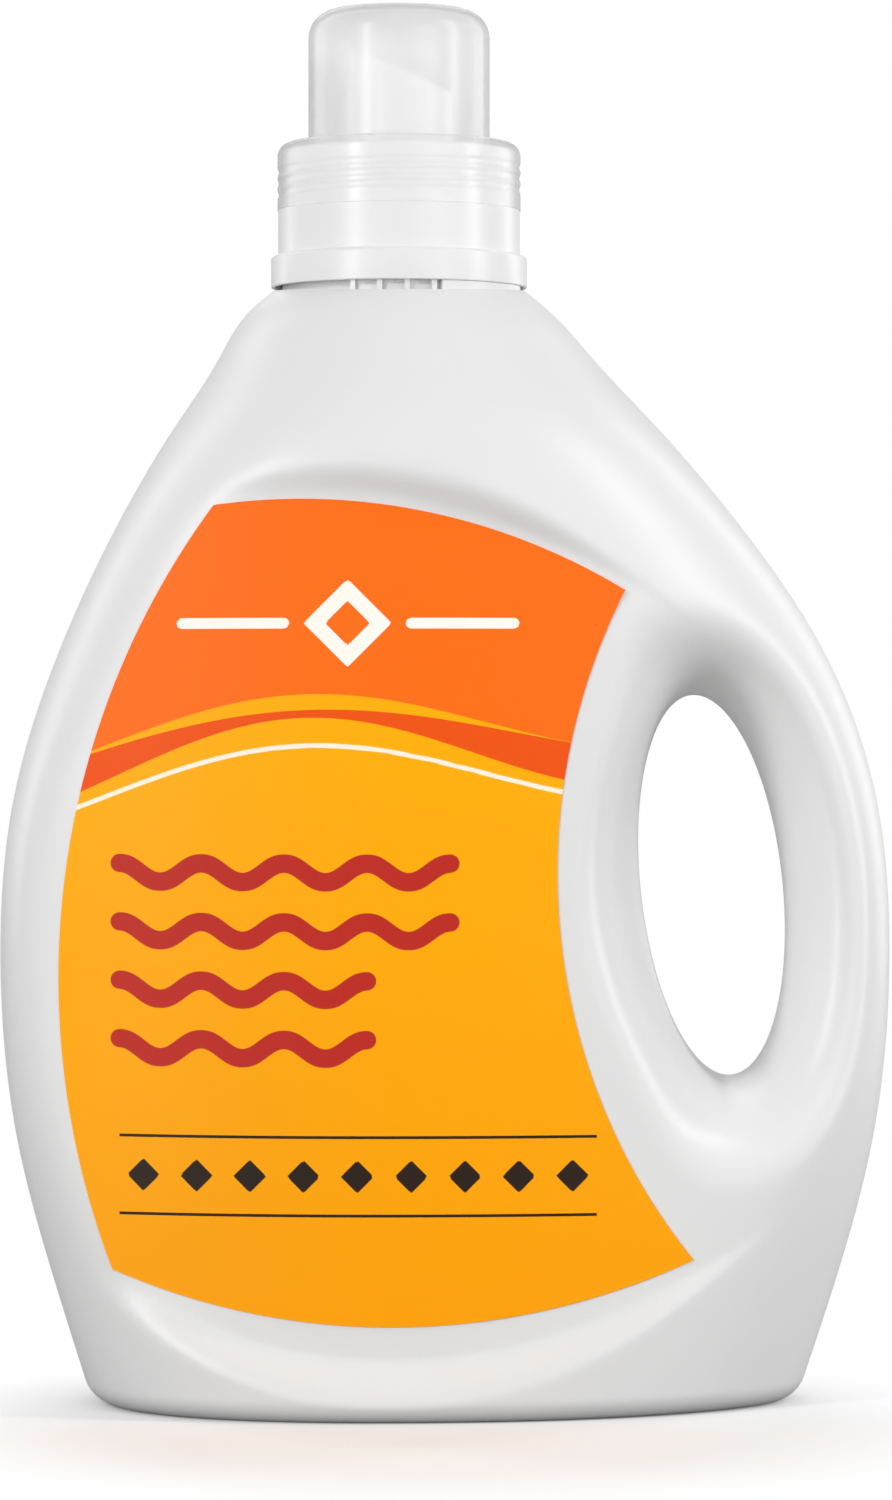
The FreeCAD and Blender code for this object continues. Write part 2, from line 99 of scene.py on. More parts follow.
RULE_RIGHT, RULE_GAP, RULE_WIDTH = 31, 8, 0.6
BACK_MARK_Z, BACK_MARK_HALF = 161, 8
BACK_PANEL_X, BACK_PANEL_Z, BACK_PANEL_HALF, BACK_PANEL_CORNER = -22, 76, (33, 37), 4
BACK_RULE_LEFT, BACK_RULE_RIGHTS, BACK_RULE_TOP = -49, (5, 5, -9), 106
BACK_RULE_PITCH, BACK_RULE_COUNT, BACK_RULE_WIDTH = 7.5, 9, 1.1
PRINT_EDGE = 0.06
ORANGE, DEEP_ORANGE, IVORY, CREAM = "#FF7014", "#F0550F", "#FFF3DC", "#FFF8EE"
AMBER_LOW, AMBER_HIGH, DARK_RED, DARK_BROWN = "#FFA300", "#FFB400", "#BE2D23", "#2E221A"
PALE, BROWN = "#FFF6E4", "#8A6A50"

# The neck stands on an axis of its own, left of the bottle's middle, with a wide root and a snap bead.
NECK_X = LEVELS[-1, 2]
NECK_BORE, NECK_RADIUS, NECK_TOP = 21.6, 23.7, 249.2
ROOT_RADIUS, ROOT_TOP = 24.7, 236.2
NECK_BEAD_RADIUS, NECK_BEAD_LOW, NECK_BEAD_HIGH = 24.4, 243.0, 245.0

# On the root, at the front and the back: four stop lugs, each a post with a ramp behind it, and a long sill.
# Places and sweeps round the neck are in degrees.
LUG_FIRST, LUG_PITCH, LUG_COUNT, LUG_TOP = -22.4, 12.7, 4, 236.4
POST_SWEEP, POST_RADIUS = 2.4, 26.1
RAMP_AFTER, RAMP_SWEEP, RAMP_RADII = 2.2, 6, (25.2, 24.6)
SILL_FIRST, SILL_SWEEP, SILL_RADIUS, SILL_TOP, SILL_STEPS = 20.4, 54, 26.6, 234.85, 16
LUG_ROOT, LUG_FOOT = 24.0, LAND - 1.8

# The pour spout: a socket over the neck with its flange, the deck, the ring for the cap, the trough round
# the spout, and the slanted tube with its drain notch.
SOCKET_RADIUS, SOCKET_FOOT = 24.0, 236.7
SNAP_RADIUS, SNAP_LOW, SNAP_HIGH = 24.7, 242.7, 245.3
FLANGE_BORE, FLANGE_RADIUS, FLANGE_LOW, FLANGE_HIGH = 26.2, 27.1, 234.9, 241.5
COLLAR_RADIUS, DECK = 25.6, 251.2
RING_RADIUS, RING_BORE, RING_TOP = 23.5, 22.1, 263.95
TROUGH_OUTER, TROUGH_INNER, SPOUT_FLOOR, SPOUT_UNDER = 21.3, 20.1, 240.8, 239.6
TUBE_RADIUS, TUBE_BORE, SPOUT_HIGH, SPOUT_LOW = 11.3, 10.2, 285.2, 275.7
NOTCH_WIDTH, NOTCH_HEIGHT, NOTCH_ROWS = 5.0, 5.0, 5

# The dosing cap: the cup, upside down, and its skirt down to the seam above the deck.
SEAM = 251.22
CUP_RADIUS, CUP_BORE, CUP_TOP, CUP_ROOF, CUP_FOOT = 19.2, 18.0, 293.8, 1.2, 243.8
SKIRT_RADIUS, SKIRT_BORE, SKIRT_TOP = 25.75, 24.45, 265.55
GROOVES_END, GROOVES_FADE, GROOVED_TOP = 261.6, 0.8, 263.0

# The ring's thread and the grooves on the skirt, by where each starts and its number of turns. Their profile
# is full out to one share of the pitch and gone by another, and they fade over a part of a turn.
THREAD_PITCH, THREAD_RISE, GROOVE_DEPTH = 2.4, 0.4, 0.24
RING_THREAD, SKIRT_GROOVES = (253.4, 3.2), (253.3, 3.4)
THREAD_FULL, THREAD_GONE, THREAD_FADE, THREAD_SPACING = 0.16, 0.36, 0.1, 0.3

# The floor, in metres: pale paper to the eye and darker to the light, with an ellipse round the foot where
# the soft shadow is kept, faded out between two of its radii.
FLOOR_HALF, PAPER_SEEN, PAPER_LIT = 4.0, "#F2F2F2", "#989898"
SHADOW_ACROSS, SHADOW_DEEP, SHADOW_SHIFT = 0.064, 0.075, 0.6
SHADOW_INNER, SHADOW_OUTER, SHADOW_WHITE = 1.05, 1.9, 0.12

# Light and camera, in metres and watts: each lamp's name, place, size and power. All face the aim.
AIM = (0, 0, 0.14)
STRIP, SOFTBOX, WIDE_SOFTBOX = (0.15, 1.2), (0.6, 0.8), (1.0, 0.8)
LAMPS = [
    ("left_strip", (-0.8, -0.86, 0.45), STRIP, 7.5),
    ("right_strip", (1.05, -0.25, 0.5), STRIP, 7.2),
    ("left_softbox", (-0.5, -1.05, 0.3), SOFTBOX, 2.5),
    ("right_softbox", (0.7, -0.95, 0.35), SOFTBOX, 2.4),
    ("right_back_strip", (0.95, 0.75, 0.5), STRIP, 3.2),
    ("left_back_strip", (-0.95, 0.7, 0.65), STRIP, 2.6),
    ("back_softbox", (-0.1, 1.2, 1.1), WIDE_SOFTBOX, 4.6),
]
SURROUND = 0.42
CAMERA_PLACE, CAMERA_LENS = (0.1 * MM, -1276 * MM, 137.1 * MM), 144.5


def linear(hex_code):
    """An sRGB hex colour as linear values with alpha."""
    parts = np.array([int(hex_code[k:k + 2], 16) for k in (1, 3, 5)]) / 255
    values = np.where(parts <= 0.04045, parts / 12.92, ((parts + 0.055) / 1.055) ** 2.4)
    return (*values.tolist(), 1.0)


def grid_faces(rows, columns, closed=False):
    """Quads of a grid whose points run row by row; a closed one joins its last column to its first."""
    index = np.arange(rows * columns).reshape(rows, columns)
    if closed:
        index = np.hstack([index, index[:, :1]])
    corners = [index[:-1, :-1], index[:-1, 1:], index[1:, 1:], index[1:, :-1]]
    return np.stack(corners, axis=-1).reshape(-1, 4)


def piece(name, patches, body, material, sharp=35.0, fields=None):
    """One mesh object from patches of points (mm) and faces, merged where they meet, facing outwards."""
    points, faces, count = [], [], 0
    for patch_points, patch_faces in patches:
        flat = np.asarray(patch_points, float).reshape(-1, 3)
        points.append(flat)
        faces.extend((patch_faces + count).tolist())
        count += len(flat)
    mesh = bpy.data.meshes.new(name)
    mesh.from_pydata((np.vstack(points) * MM).tolist(), [], faces)
    for field, values in (fields or {}).items():
        mesh.attributes.new(field, "FLOAT", "POINT").data.foreach_set("value", np.ravel(values))
    work = bmesh.new()
    work.from_mesh(mesh)
    bmesh.ops.remove_doubles(work, verts=work.verts, dist=MERGE_WITHIN)
    bmesh.ops.dissolve_degenerate(work, edges=work.edges, dist=DROP_UNDER)
    bmesh.ops.recalc_face_normals(work, faces=work.faces)
    work.to_mesh(mesh)
    work.free()
    mesh.shade_smooth()
    mesh.set_sharp_from_angle(angle=math.radians(sharp))
    mesh.materials.append(material)
    made = bpy.data.objects.new(name, mesh)
    bpy.context.scene.collection.objects.link(made)
    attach(made, body)
    return made


def spline(places, values):
    """A natural cubic spline: a function that is smooth and goes through each value at its place."""
    step = np.diff(places)
    slope = np.diff(values) / step
    system = np.eye(len(places))
    bends = np.zeros(len(places))
    for k in range(1, len(places) - 1):
        system[k, k - 1:k + 2] = step[k - 1], 2 * (step[k - 1] + step[k]), step[k]
        bends[k] = 6 * (slope[k] - slope[k - 1])
    bends = np.linalg.solve(system, bends)

    def at(place):
        k = np.clip(np.searchsorted(places, place) - 1, 0, len(step) - 1)
        a = (places[k + 1] - place) / step[k]
        b = 1 - a
        curve = (a ** 3 - a) * bends[k] + (b ** 3 - b) * bends[k + 1]
        return a * values[k] + b * values[k + 1] + curve * step[k] ** 2 / 6

    return at


HALF_WIDTH, SHIFT, HALF_DEPTH, ROUNDNESS, TAPER = [spline(LEVELS[:, 0], LEVELS[:, k]) for k in range(1, 6)]


def soft_min(one, other, blend):
    """The lower of two depths; where they are nearly equal, the crest between them is rounded off."""
    closeness = np.clip(1 - abs(one - other) / blend, 0, 1)
    return np.minimum(one, other) - blend * closeness ** 2 / 4


def heel_inset(z, inset):
    """How far the rounded heel lies inside the outline: a quarter circle of the heel's radius."""
    radius = HEEL - inset
    below = np.clip(radius - (z - FOOT - inset), 0, radius)
    return radius - np.sqrt(radius ** 2 - below ** 2)


def skin_depth(x, z, inset):
    """The level outline solved for y: (1 - |a|^n)^(1/n) times the half depth, narrower towards the handle."""
    reach = HALF_WIDTH(z) - inset - heel_inset(z, inset)
    along = np.clip((x - SHIFT(z)) / reach, -1, 1)
    narrow = 1 - TAPER(z) * ((1 + along) / 2) ** 3
    curve = (1 - abs(along) ** ROUNDNESS(z)) ** (1 / ROUNDNESS(z))
    return curve * (HALF_DEPTH(z) * narrow - inset - heel_inset(z, inset))


def panel_depth(x, z, inset):
    """The panel's arcs, plus the ledges that climb out of it above and below, with a soft foot."""
    radius = np.where(x < PANEL_X, PANEL_LEFT_RADIUS, PANEL_RIGHT_RADIUS) - inset
    arc = PANEL_DEPTH - inset - radius + np.sqrt(radius ** 2 - (x - PANEL_X) ** 2)
    climb = np.zeros_like(x)
    for ledge, side in ((UPPER_LEDGE, 1), (LOWER_LEDGE, -1)):
        edge = ledge["crest"] - side * (x - ledge["x"]) ** 2 / (2 * ledge["radius"])
        rise = (side * (z - edge) / ledge["slope"]) - inset
        climb = -soft_min(-climb, -rise, LEDGE_FOOT)
    return arc + climb


def hole_turn(x, z, across, up):
    """The ellipse's turn whose normal passes through a point outside it, by Newton's method."""
    here = (x - HOLE_X) * math.cos(HOLE_LEAN) + (z - HOLE_Z) * math.sin(HOLE_LEAN)
    there = (z - HOLE_Z) * math.cos(HOLE_LEAN) - (x - HOLE_X) * math.sin(HOLE_LEAN)
    turn = np.arctan2(there * (across + up), here * (across + up))
    turn = np.arctan2(np.sin(turn) * up, np.cos(turn) * across)
    for _ in range(30):
        edge_x, edge_z = across * np.cos(turn), up * np.sin(turn)
        slope_x, slope_z = -across * np.sin(turn), up * np.cos(turn)
        miss = (edge_x - here) * slope_x + (edge_z - there) * slope_z
        gain = slope_x ** 2 + slope_z ** 2 - (edge_x - here) * edge_x - (edge_z - there) * edge_z
        turn = turn - np.clip(miss / np.maximum(gain, 1e-6), -0.3, 0.3)
    away = np.hypot(edge_x - here, edge_z - there)
    return turn, away


def hole_edge(turn, across, up):
    """The point of the leaning ellipse at a turn."""
    edge_x, edge_z = across * np.cos(turn), up * np.sin(turn)
    x = HOLE_X + edge_x * math.cos(HOLE_LEAN) - edge_z * math.sin(HOLE_LEAN)
    z = HOLE_Z + edge_z * math.cos(HOLE_LEAN) + edge_x * math.sin(HOLE_LEAN)
    return np.stack([x, z], axis=-1)


def funnel_depth(turn, away):
    """The funnel's edge moves out by rate * y^2, so y is the root of the distance over the rate."""
    mean = (RATE_GRIP + RATE_BODY + RATE_UP + RATE_DOWN) / 4
    rate = mean + (RATE_GRIP - RATE_BODY) / 2 * np.cos(turn) + (RATE_UP - RATE_DOWN) / 2 * np.sin(turn)
    rate = rate + (RATE_GRIP + RATE_BODY - RATE_UP - RATE_DOWN) / 4 * np.cos(2 * turn)
    return np.sqrt(away / rate)


def skin_half(inset, rows, side_steps, ring_steps, foot_steps):
    """The front half of the skin: lines from the outline to the handle hole along the hole's normals.
    Returns its points (row by row), the columns of the neck ring and those of the foot."""
    floor, roof = FOOT + inset, LAND - inset
    heel = floor + (HEEL - inset) * (1 - np.cos(np.linspace(0, math.pi / 2, 7)[:-1]))
    side_z = np.concatenate([heel, np.linspace(floor + HEEL - inset, roof, side_steps)])[:-1]
    side_reach = HALF_WIDTH(side_z) - inset - heel_inset(side_z, inset)
    ring_turn = np.linspace(math.pi, 0, ring_steps + 1)
    ring_x = SHIFT(roof) + (HALF_WIDTH(roof) - inset) * np.cos(ring_turn)
    foot_turn = np.linspace(0, math.pi, foot_steps + 1)
    power = ROUNDNESS(floor)
    foot_reach = (abs(np.cos(foot_turn)) ** power + abs(np.sin(foot_turn)) ** power) ** (-1 / power)
    foot_x = SHIFT(floor) + foot_reach * np.cos(foot_turn) * (HALF_WIDTH(floor) - HEEL)
    right_z = side_z[:0:-1]
    right_reach = side_reach[:0:-1]
    edge_x = np.concatenate([SHIFT(side_z) - side_reach, ring_x, SHIFT(right_z) + right_reach, foot_x[:-1]])
    edge_z = np.concatenate([side_z, np.full(len(ring_x), roof), right_z, np.full(foot_steps, floor)])
    across, up = HOLE_ACROSS + inset, HOLE_UP + inset
    edge = np.stack([edge_x, edge_z], axis=-1)
    hole = hole_edge(hole_turn(edge_x, edge_z, across, up)[0], across, up)
    share = ((1 - np.cos(math.pi * np.linspace(0, 1, rows))) / 2)[:, None, None]
    x, z = np.moveaxis(edge * (1 - share) + hole * share, -1, 0)
    turn, away = hole_turn(x, z, across, up)
    depth = soft_min(skin_depth(x, z, inset), panel_depth(x, z, inset), PANEL_CREST)
    crest = FUNNEL_CREST + FUNNEL_CREST_MORE * np.sin(turn) ** 2
    depth = soft_min(depth, funnel_depth(turn, away), crest)
    left = len(side_z)
    right = left + len(ring_x)
    foot = right + len(right_z)
    depth[0] = skin_depth(x[0], z[0], inset)
    depth[0, :left + 1] = 0
    depth[0, right - 1:foot + 1] = 0
    depth[-1] = 0
    points = np.stack([x, -np.maximum(depth, 0), z], axis=-1)
    ring_columns = np.arange(left, right)
    foot_columns = np.append(np.arange(foot, points.shape[1]), 0)
    return points, ring_columns, foot_columns


def dipped(points):
    """Lets the land sag at the front and the back: the dip times a smooth step up the shoulder,
    times the square of the sine of the turn round the neck."""
    x, y, z = np.moveaxis(points, -1, 0)
    near = np.clip((z - DIP_START) / (LAND - DIP_START), 0, 1)
    sine_squared = y ** 2 / np.maximum((x - NECK_X) ** 2 + y ** 2, 1)
    sag = SHOULDER_DIP * near ** 2 * (3 - 2 * near) * sine_squared * (z <= LAND)
    return np.stack([x, y, z - sag], axis=-1)


def mirrored(points):
    """The same points on the other side of the parting plane."""
    return points * np.array([1, -1, 1])


def base_half(foot, inset, rows):
    """The front half of the base: the foot's edge drawn in to a line, rising into a shallow hollow."""
    share = np.linspace(0, 1, rows)[:, None]
    depth = -foot[:, 1].min()
    middle = foot[:, 0].mean()
    half = abs(foot[:, 0] - middle).max()
    x = middle + (foot[:, 0] - middle) * (1 - share * depth / half)
    y = foot[:, 1] * (1 - share)
    climb = np.clip((share * depth - HOLLOW_MARGIN + HEEL) / HOLLOW_RUN, 0, 1)
    z = FOOT + inset + HOLLOW_DEPTH * climb ** 2 * (3 - 2 * climb) + 0 * x
    return np.stack([x, y, z], axis=-1)


def turned(profile, columns, shape=None):
    """A profile of radius and height carried round the neck's axis; shape may move each point."""
    radius, height = [np.repeat(part[:, None], columns, axis=1) for part in np.asarray(profile, float).T]
    angle = np.broadcast_to(2 * math.pi * np.arange(columns) / columns, radius.shape)
    if shape:
        radius, height = shape(radius, height, angle)
    return np.stack([NECK_X + radius * np.cos(angle), radius * np.sin(angle), height], axis=-1)


def rounded(corners, steps=5):
    """A profile whose corners are rounded by tangent arcs: each corner is radius, height and rounding."""
    spots = np.array([corner[:2] for corner in corners], float)
    path = []
    for k, (here, rounding) in enumerate(zip(spots, [corner[2] for corner in corners])):
        back, on = spots[k - 1] - here, spots[(k + 1) % len(spots)] - here
        if rounding == 0:
            path.append(here)
            continue
        back, on = back / np.hypot(*back), on / np.hypot(*on)
        half = math.acos(np.clip(back @ on, -1, 1)) / 2
        centre = here + (back + on) / np.hypot(*(back + on)) * rounding / math.sin(half)
        first = here + back * rounding / math.tan(half) - centre
        last = here + on * rounding / math.tan(half) - centre
        sweep = math.pi - 2 * half
        for share in np.linspace(0, 1, steps + 1):
            weight = math.sin((1 - share) * sweep), math.sin(share * sweep)
            path.append(centre + (weight[0] * first + weight[1] * last) / math.sin(sweep))
    return np.array(path)


def refined(path, low, high, spacing):
    """A closed path with extra points on its upright runs between two heights."""
    out = []
    for here, on in zip(path, np.roll(path, -1, axis=0)):
        out.append(here)
        inside = min(here[1], on[1]) >= low - 0.01 and max(here[1], on[1]) <= high + 0.01
        count = int(abs(on[1] - here[1]) / spacing) if inside else 0
        for k in range(1, count):
            out.append(here + (on - here) * k / count)
    return np.array(out)


def thread(height, angle, start, turns):
    """A right-handed ridge of so many turns: its share of the full rise at each point, faded at both ends."""
    phase = (height - start) / THREAD_PITCH - angle / (2 * math.pi)
    nearest = np.round(phase)
    run = nearest + angle / (2 * math.pi)
    fade = np.clip(np.minimum(run, turns - run) / THREAD_FADE, 0, 1)
    flank = (THREAD_GONE - abs(phase - nearest)) / (THREAD_GONE - THREAD_FULL)
    return fade * np.clip(flank, 0, 1)


def wedge(first, sweep, outer_first, outer_last, top, steps=4):
    """A block on the neck's root between two turns, whose outer radius changes evenly along it."""
    turn = np.radians(np.linspace(first, first + sweep, steps + 1))
    outer = np.linspace(outer_first, outer_last, steps + 1)
    rings = []
    inner = np.full(steps + 1, LUG_ROOT)
    for radius, height in ((inner, LUG_FOOT), (outer, LUG_FOOT), (outer, top), (inner, top)):
        spot = [NECK_X + radius * np.sin(turn), -radius * np.cos(turn), np.full(steps + 1, height)]
        rings.append(np.stack(spot, axis=-1))
    points = np.stack(rings, axis=1)
    faces = grid_faces(steps + 1, 4, closed=True)
    ends = np.array([[0, 1, 2, 3], [4 * steps + 3, 4 * steps + 2, 4 * steps + 1, 4 * steps]])
    return points, np.vstack([faces, ends])


def add(tree, kind, settings=None, links=None):
    """Adds a node, sets its properties, and sets or links its inputs."""
    node = tree.nodes.new(kind)
    for name, value in (settings or {}).items():
        setattr(node, name, value)
    for socket, value in (links or {}).items():
        if isinstance(value, bpy.types.NodeSocket):
            tree.links.new(value, node.inputs[socket])
        else:
            node.inputs[socket].default_value = value
    return node


def new_material(name, values):
    """A material with a Principled shader whose constant values sit on its own sockets."""
    material = bpy.data.materials.new(name)
    material.use_nodes = True
    tree = material.node_tree
    tree.nodes.clear()
    shader = add(tree, "ShaderNodeBsdfPrincipled", links=values)
    add(tree, "ShaderNodeOutputMaterial", links={"Surface": shader.outputs[0]})
    return material, tree, shader


def mapped(tree, value, low, high, start=0.0, end=1.0, kind="LINEAR"):
    """A value carried from between start and end to between low and high."""
    return add(tree, "ShaderNodeMapRange", {"interpolation_type": kind}, {
        "Value": value, "From Min": start, "From Max": end, "To Min": low, "To Max": high}).outputs[0]


def maths(tree, operation, *values):
    """One step of arithmetic, or a comparison, on values or sockets."""
    return add(tree, "ShaderNodeMath", {"operation": operation}, dict(enumerate(values))).outputs[0]


def mixed_colour(tree, share, one, other):
    """A colour between two, each a socket or an sRGB hex."""
    one, other = [linear(colour) if isinstance(colour, str) else colour for colour in (one, other)]
    return add(tree, "ShaderNodeMix", {"data_type": "RGBA"}, {"Factor": share, 6: one, 7: other}).outputs[2]


def object_place(tree):
    """The object's own coordinates, in metres."""
    return add(tree, "ShaderNodeTexCoord").outputs["Object"]


def grain(tree, size, detail=2.0):
    """Noise whose cells are about a size in millimetres, on the object's own coordinates."""
    return add(tree, "ShaderNodeTexNoise", links={
        "Vector": object_place(tree), "Scale": 1 / (size * MM), "Detail": detail}).outputs["Fac"]


def bump(tree, height, distance, strength, under=None):
    """A bump of a depth in millimetres, on top of another where one is given."""
    links = {"Height": height, "Distance": distance * MM, "Strength": strength}
    if under is not None:
        links["Normal"] = under
    return add(tree, "ShaderNodeBump", links=links).outputs[0]


def finished(tree, shader, normal, gloss=None):
    """Gives a shader its bump and, where one is given, an uneven gloss: the size of its cells and its lowest
    and highest roughness. Their mean stays on the socket for a viewer that can't follow the noise."""
    tree.links.new(normal, shader.inputs["Normal"])
    if gloss:
        size, low, high = gloss
        shader.inputs["Roughness"].default_value = (low + high) / 2
        tree.links.new(mapped(tree, grain(tree, size), low, high), shader.inputs["Roughness"])


def light_path(tree):
    """The outputs that tell what kind of ray asks."""
    return add(tree, "ShaderNodeLightPath").outputs


def eye_ray(tree, path):
    """1 for a ray from the camera or through a clear piece, else 0."""
    return maths(tree, "MAXIMUM", path["Is Camera Ray"], path["Is Transmission Ray"])


def blow_moulded_hdpe():
    """White high-density polyethylene, blown: satin, softly wavy, with a fine parting line round the edge."""
    material, tree, shader = new_material("blow_moulded_hdpe_white", {
        "Base Color": linear("#E0E0E0"), "IOR": 1.54})
    depth = add(tree, "ShaderNodeSeparateXYZ", links={0: object_place(tree)}).outputs["Y"]
    seam = mapped(tree, maths(tree, "ABSOLUTE", depth), 1.0, 0.0, 0.0, 0.35 * MM, "SMOOTHSTEP")
    parting = bump(tree, seam, 0.12, 0.8)
    waves = bump(tree, grain(tree, 28, 1.0), 0.25, 0.6, parting)
    finished(tree, shader, bump(tree, grain(tree, 0.9), 0.012, 0.7, waves), (12, 0.34, 0.42))
    return material


def moulded_pp_white():
    """Injection-moulded white polypropylene: smoother, glossier and a little lighter than the bottle."""
    material, tree, shader = new_material("moulded_pp_white", {"Base Color": linear("#E4E4E4"), "IOR": 1.49})
    finished(tree, shader, bump(tree, grain(tree, 1.2), 0.008, 0.6), (8, 0.3, 0.38))
    return material


def natural_pp():
    """Unpigmented polypropylene: milky and glossy, so what stands close behind it shows as a pale shape.
    Its wall lets scattered light in more readily than it lets the eye through."""
    material, tree, shader = new_material("natural_pp_translucent", {
        "Base Color": linear("#F0F0F0"), "IOR": 1.49})
    opaque_to_eye, opaque_to_light = 0.38, 0.15
    solid = mapped(tree, light_path(tree)["Is Shadow Ray"], opaque_to_eye, opaque_to_light)
    tree.links.new(solid, shader.inputs["Alpha"])
    finished(tree, shader, bump(tree, grain(tree, 1.5), 0.01, 0.6), (9, 0.2, 0.3))
    return material


def printed_film(name, ground, prints):
    """Printed satin film: flat strong colours with hardly a highlight. A print is the name of a field,
    which covers what is under it wherever it is above nought, or a thin straight rule: its start, end,
    height and width."""
    material, tree, shader = new_material(name, {"IOR": 1.5, "Roughness": 0.45, "Specular IOR Level": 0.12})
    place = add(tree, "ShaderNodeSeparateXYZ", links={0: object_place(tree)}).outputs
    # The ground runs from the deeper amber at the label's foot to the lighter one at its top, so it is darker
    # towards the bottom.
    share = mapped(tree, place["Z"], 0.0, 1.0, LABEL_BOTTOM * MM, LABEL_TOP * MM)
    colour = mixed_colour(tree, share, *ground)
    for shape, hex_code in prints:
        if isinstance(shape, str):
            value = add(tree, "ShaderNodeAttribute", {"attribute_name": shape}).outputs["Fac"]
            mask = mapped(tree, value, 0.0, 1.0, -PRINT_EDGE, PRINT_EDGE)
        else:
            start, end, middle, width = [part * MM for part in shape]
            along = maths(tree, "COMPARE", place["X"], (start + end) / 2, (end - start) / 2)
            across = maths(tree, "COMPARE", place["Z"], middle, width / 2)
            mask = maths(tree, "MULTIPLY", along, across)
        colour = mixed_colour(tree, mask, colour, hex_code)
    tree.links.new(colour, shader.inputs["Base Color"])
    finished(tree, shader, bump(tree, grain(tree, 1.6), 0.006, 0.5))
    return material


def label_grid(columns, rows):
    """Places x and z of a film with four curved edges, found by drawing each to its two edges in turn."""
    across, up = np.meshgrid(np.linspace(0, 1, columns), np.linspace(0, 1, rows))
    x = LABEL_LEFT + across * (LABEL_RIGHT - LABEL_LEFT)
    for _ in range(25):
        top = LABEL_TOP - LABEL_TOP_RADIUS + np.sqrt(
            LABEL_TOP_RADIUS ** 2 - (x - UPPER_LEDGE["x"]) ** 2)
        bottom = LABEL_BOTTOM + LABEL_BOTTOM_RADIUS - np.sqrt(
            LABEL_BOTTOM_RADIUS ** 2 - (x - LOWER_LEDGE["x"]) ** 2)
        z = bottom + (top - bottom) * up
        left = LABEL_LEFT + LABEL_LEFT_RADIUS - np.sqrt(
            LABEL_LEFT_RADIUS ** 2 - (z - LABEL_LEFT_Z) ** 2)
        right = LABEL_RIGHT + LABEL_RIGHT_RADIUS - np.sqrt(
            LABEL_RIGHT_RADIUS ** 2 - (z - LABEL_RIGHT_Z) ** 2)
        x = left + (right - left) * across
    return x, z


def stroke(x, z, start, end, middle, width, swing=0.0, period=1.0):
    """How far inside a band with round ends: its middle is a cosine wave that starts and ends on a crest."""
    nearest = np.clip(x, start, end)
    turn = 2 * math.pi * (nearest - start) / period
    slope = 2 * math.pi / period * swing * np.sin(turn)
    rise = (z - middle - swing * np.cos(turn)) / np.sqrt(1 + slope ** 2)
    return width / 2 - np.hypot(x - nearest, rise)


def diamond(x, z, middle_x, middle_z, half_width, half_height):
    """How far inside a lozenge."""
    share = 1 - abs(x - middle_x) / half_width - abs(z - middle_z) / half_height
    return share * half_width * half_height / math.hypot(half_width, half_height)


def crest_line(x):
    """The long wave that parts the two colour fields: a sine on a slight climb."""
    along = x - WAVE_LEFT
    return WAVE_Z + WAVE_SWING * np.sin(along / WAVE_RUN) + WAVE_CLIMB * along


def wave_fields(x, z):
    """The colour field above the wave, and a swelling ribbon and a thin line that run along it."""
    above = z - crest_line(x)
    ribbon = RIBBON_HALF + RIBBON_SWELL * np.sin(x / RIBBON_RUN) - abs(above + RIBBON_BELOW)
    return {"upper": above, "ribbon": ribbon, "thin": LINE_HALF - abs(above + LINE_BELOW)}


def front_artwork(x, z):
    """Plain shapes of the front label: the wave, a lozenge between two bars, ripples and a row of beads."""
    nothing = np.full_like(x, -9.0)
    ripples, beads = nothing, nothing
    for k, length in enumerate(RIPPLE_LENGTHS):
        ripples = np.maximum(ripples, stroke(
            x, z, RIPPLE_LEFT, RIPPLE_LEFT + length, RIPPLE_TOP - RIPPLE_PITCH * k,
            RIPPLE_WIDTH, RIPPLE_SWING, RIPPLE_PERIOD))
    for k in range(BEAD_COUNT):
        beads = np.maximum(beads, diamond(x, z, BEAD_LEFT + BEAD_PITCH * k, BEAD_Z, BEAD_HALF, BEAD_HALF))
    mark = diamond(x, z, MARK_X, MARK_Z, MARK_HALF, MARK_HALF)
    for side in (-1, 1):
        start, end = sorted((MARK_X + side * BAR_START, MARK_X + side * BAR_END))
        mark = np.maximum(mark, stroke(x, z, start, end, MARK_Z, BAR_WIDTH))
    heart = diamond(x, z, MARK_X, MARK_Z, HEART_HALF, HEART_HALF)
    return {**wave_fields(x, z), "mark": mark, "heart": heart, "ripples": ripples, "beads": beads}


def back_artwork(x, z):
    """Plain shapes of the back label: the wave, a lozenge and a pale panel with round corners."""
    across = np.maximum(abs(x - BACK_PANEL_X) - BACK_PANEL_HALF[0] + BACK_PANEL_CORNER, 0)
    up = np.maximum(abs(z - BACK_PANEL_Z) - BACK_PANEL_HALF[1] + BACK_PANEL_CORNER, 0)
    mark = diamond(x, z, MARK_X, BACK_MARK_Z, BACK_MARK_HALF, BACK_MARK_HALF)
    return {**wave_fields(x, z), "mark": mark, "panel": BACK_PANEL_CORNER - np.hypot(across, up)}


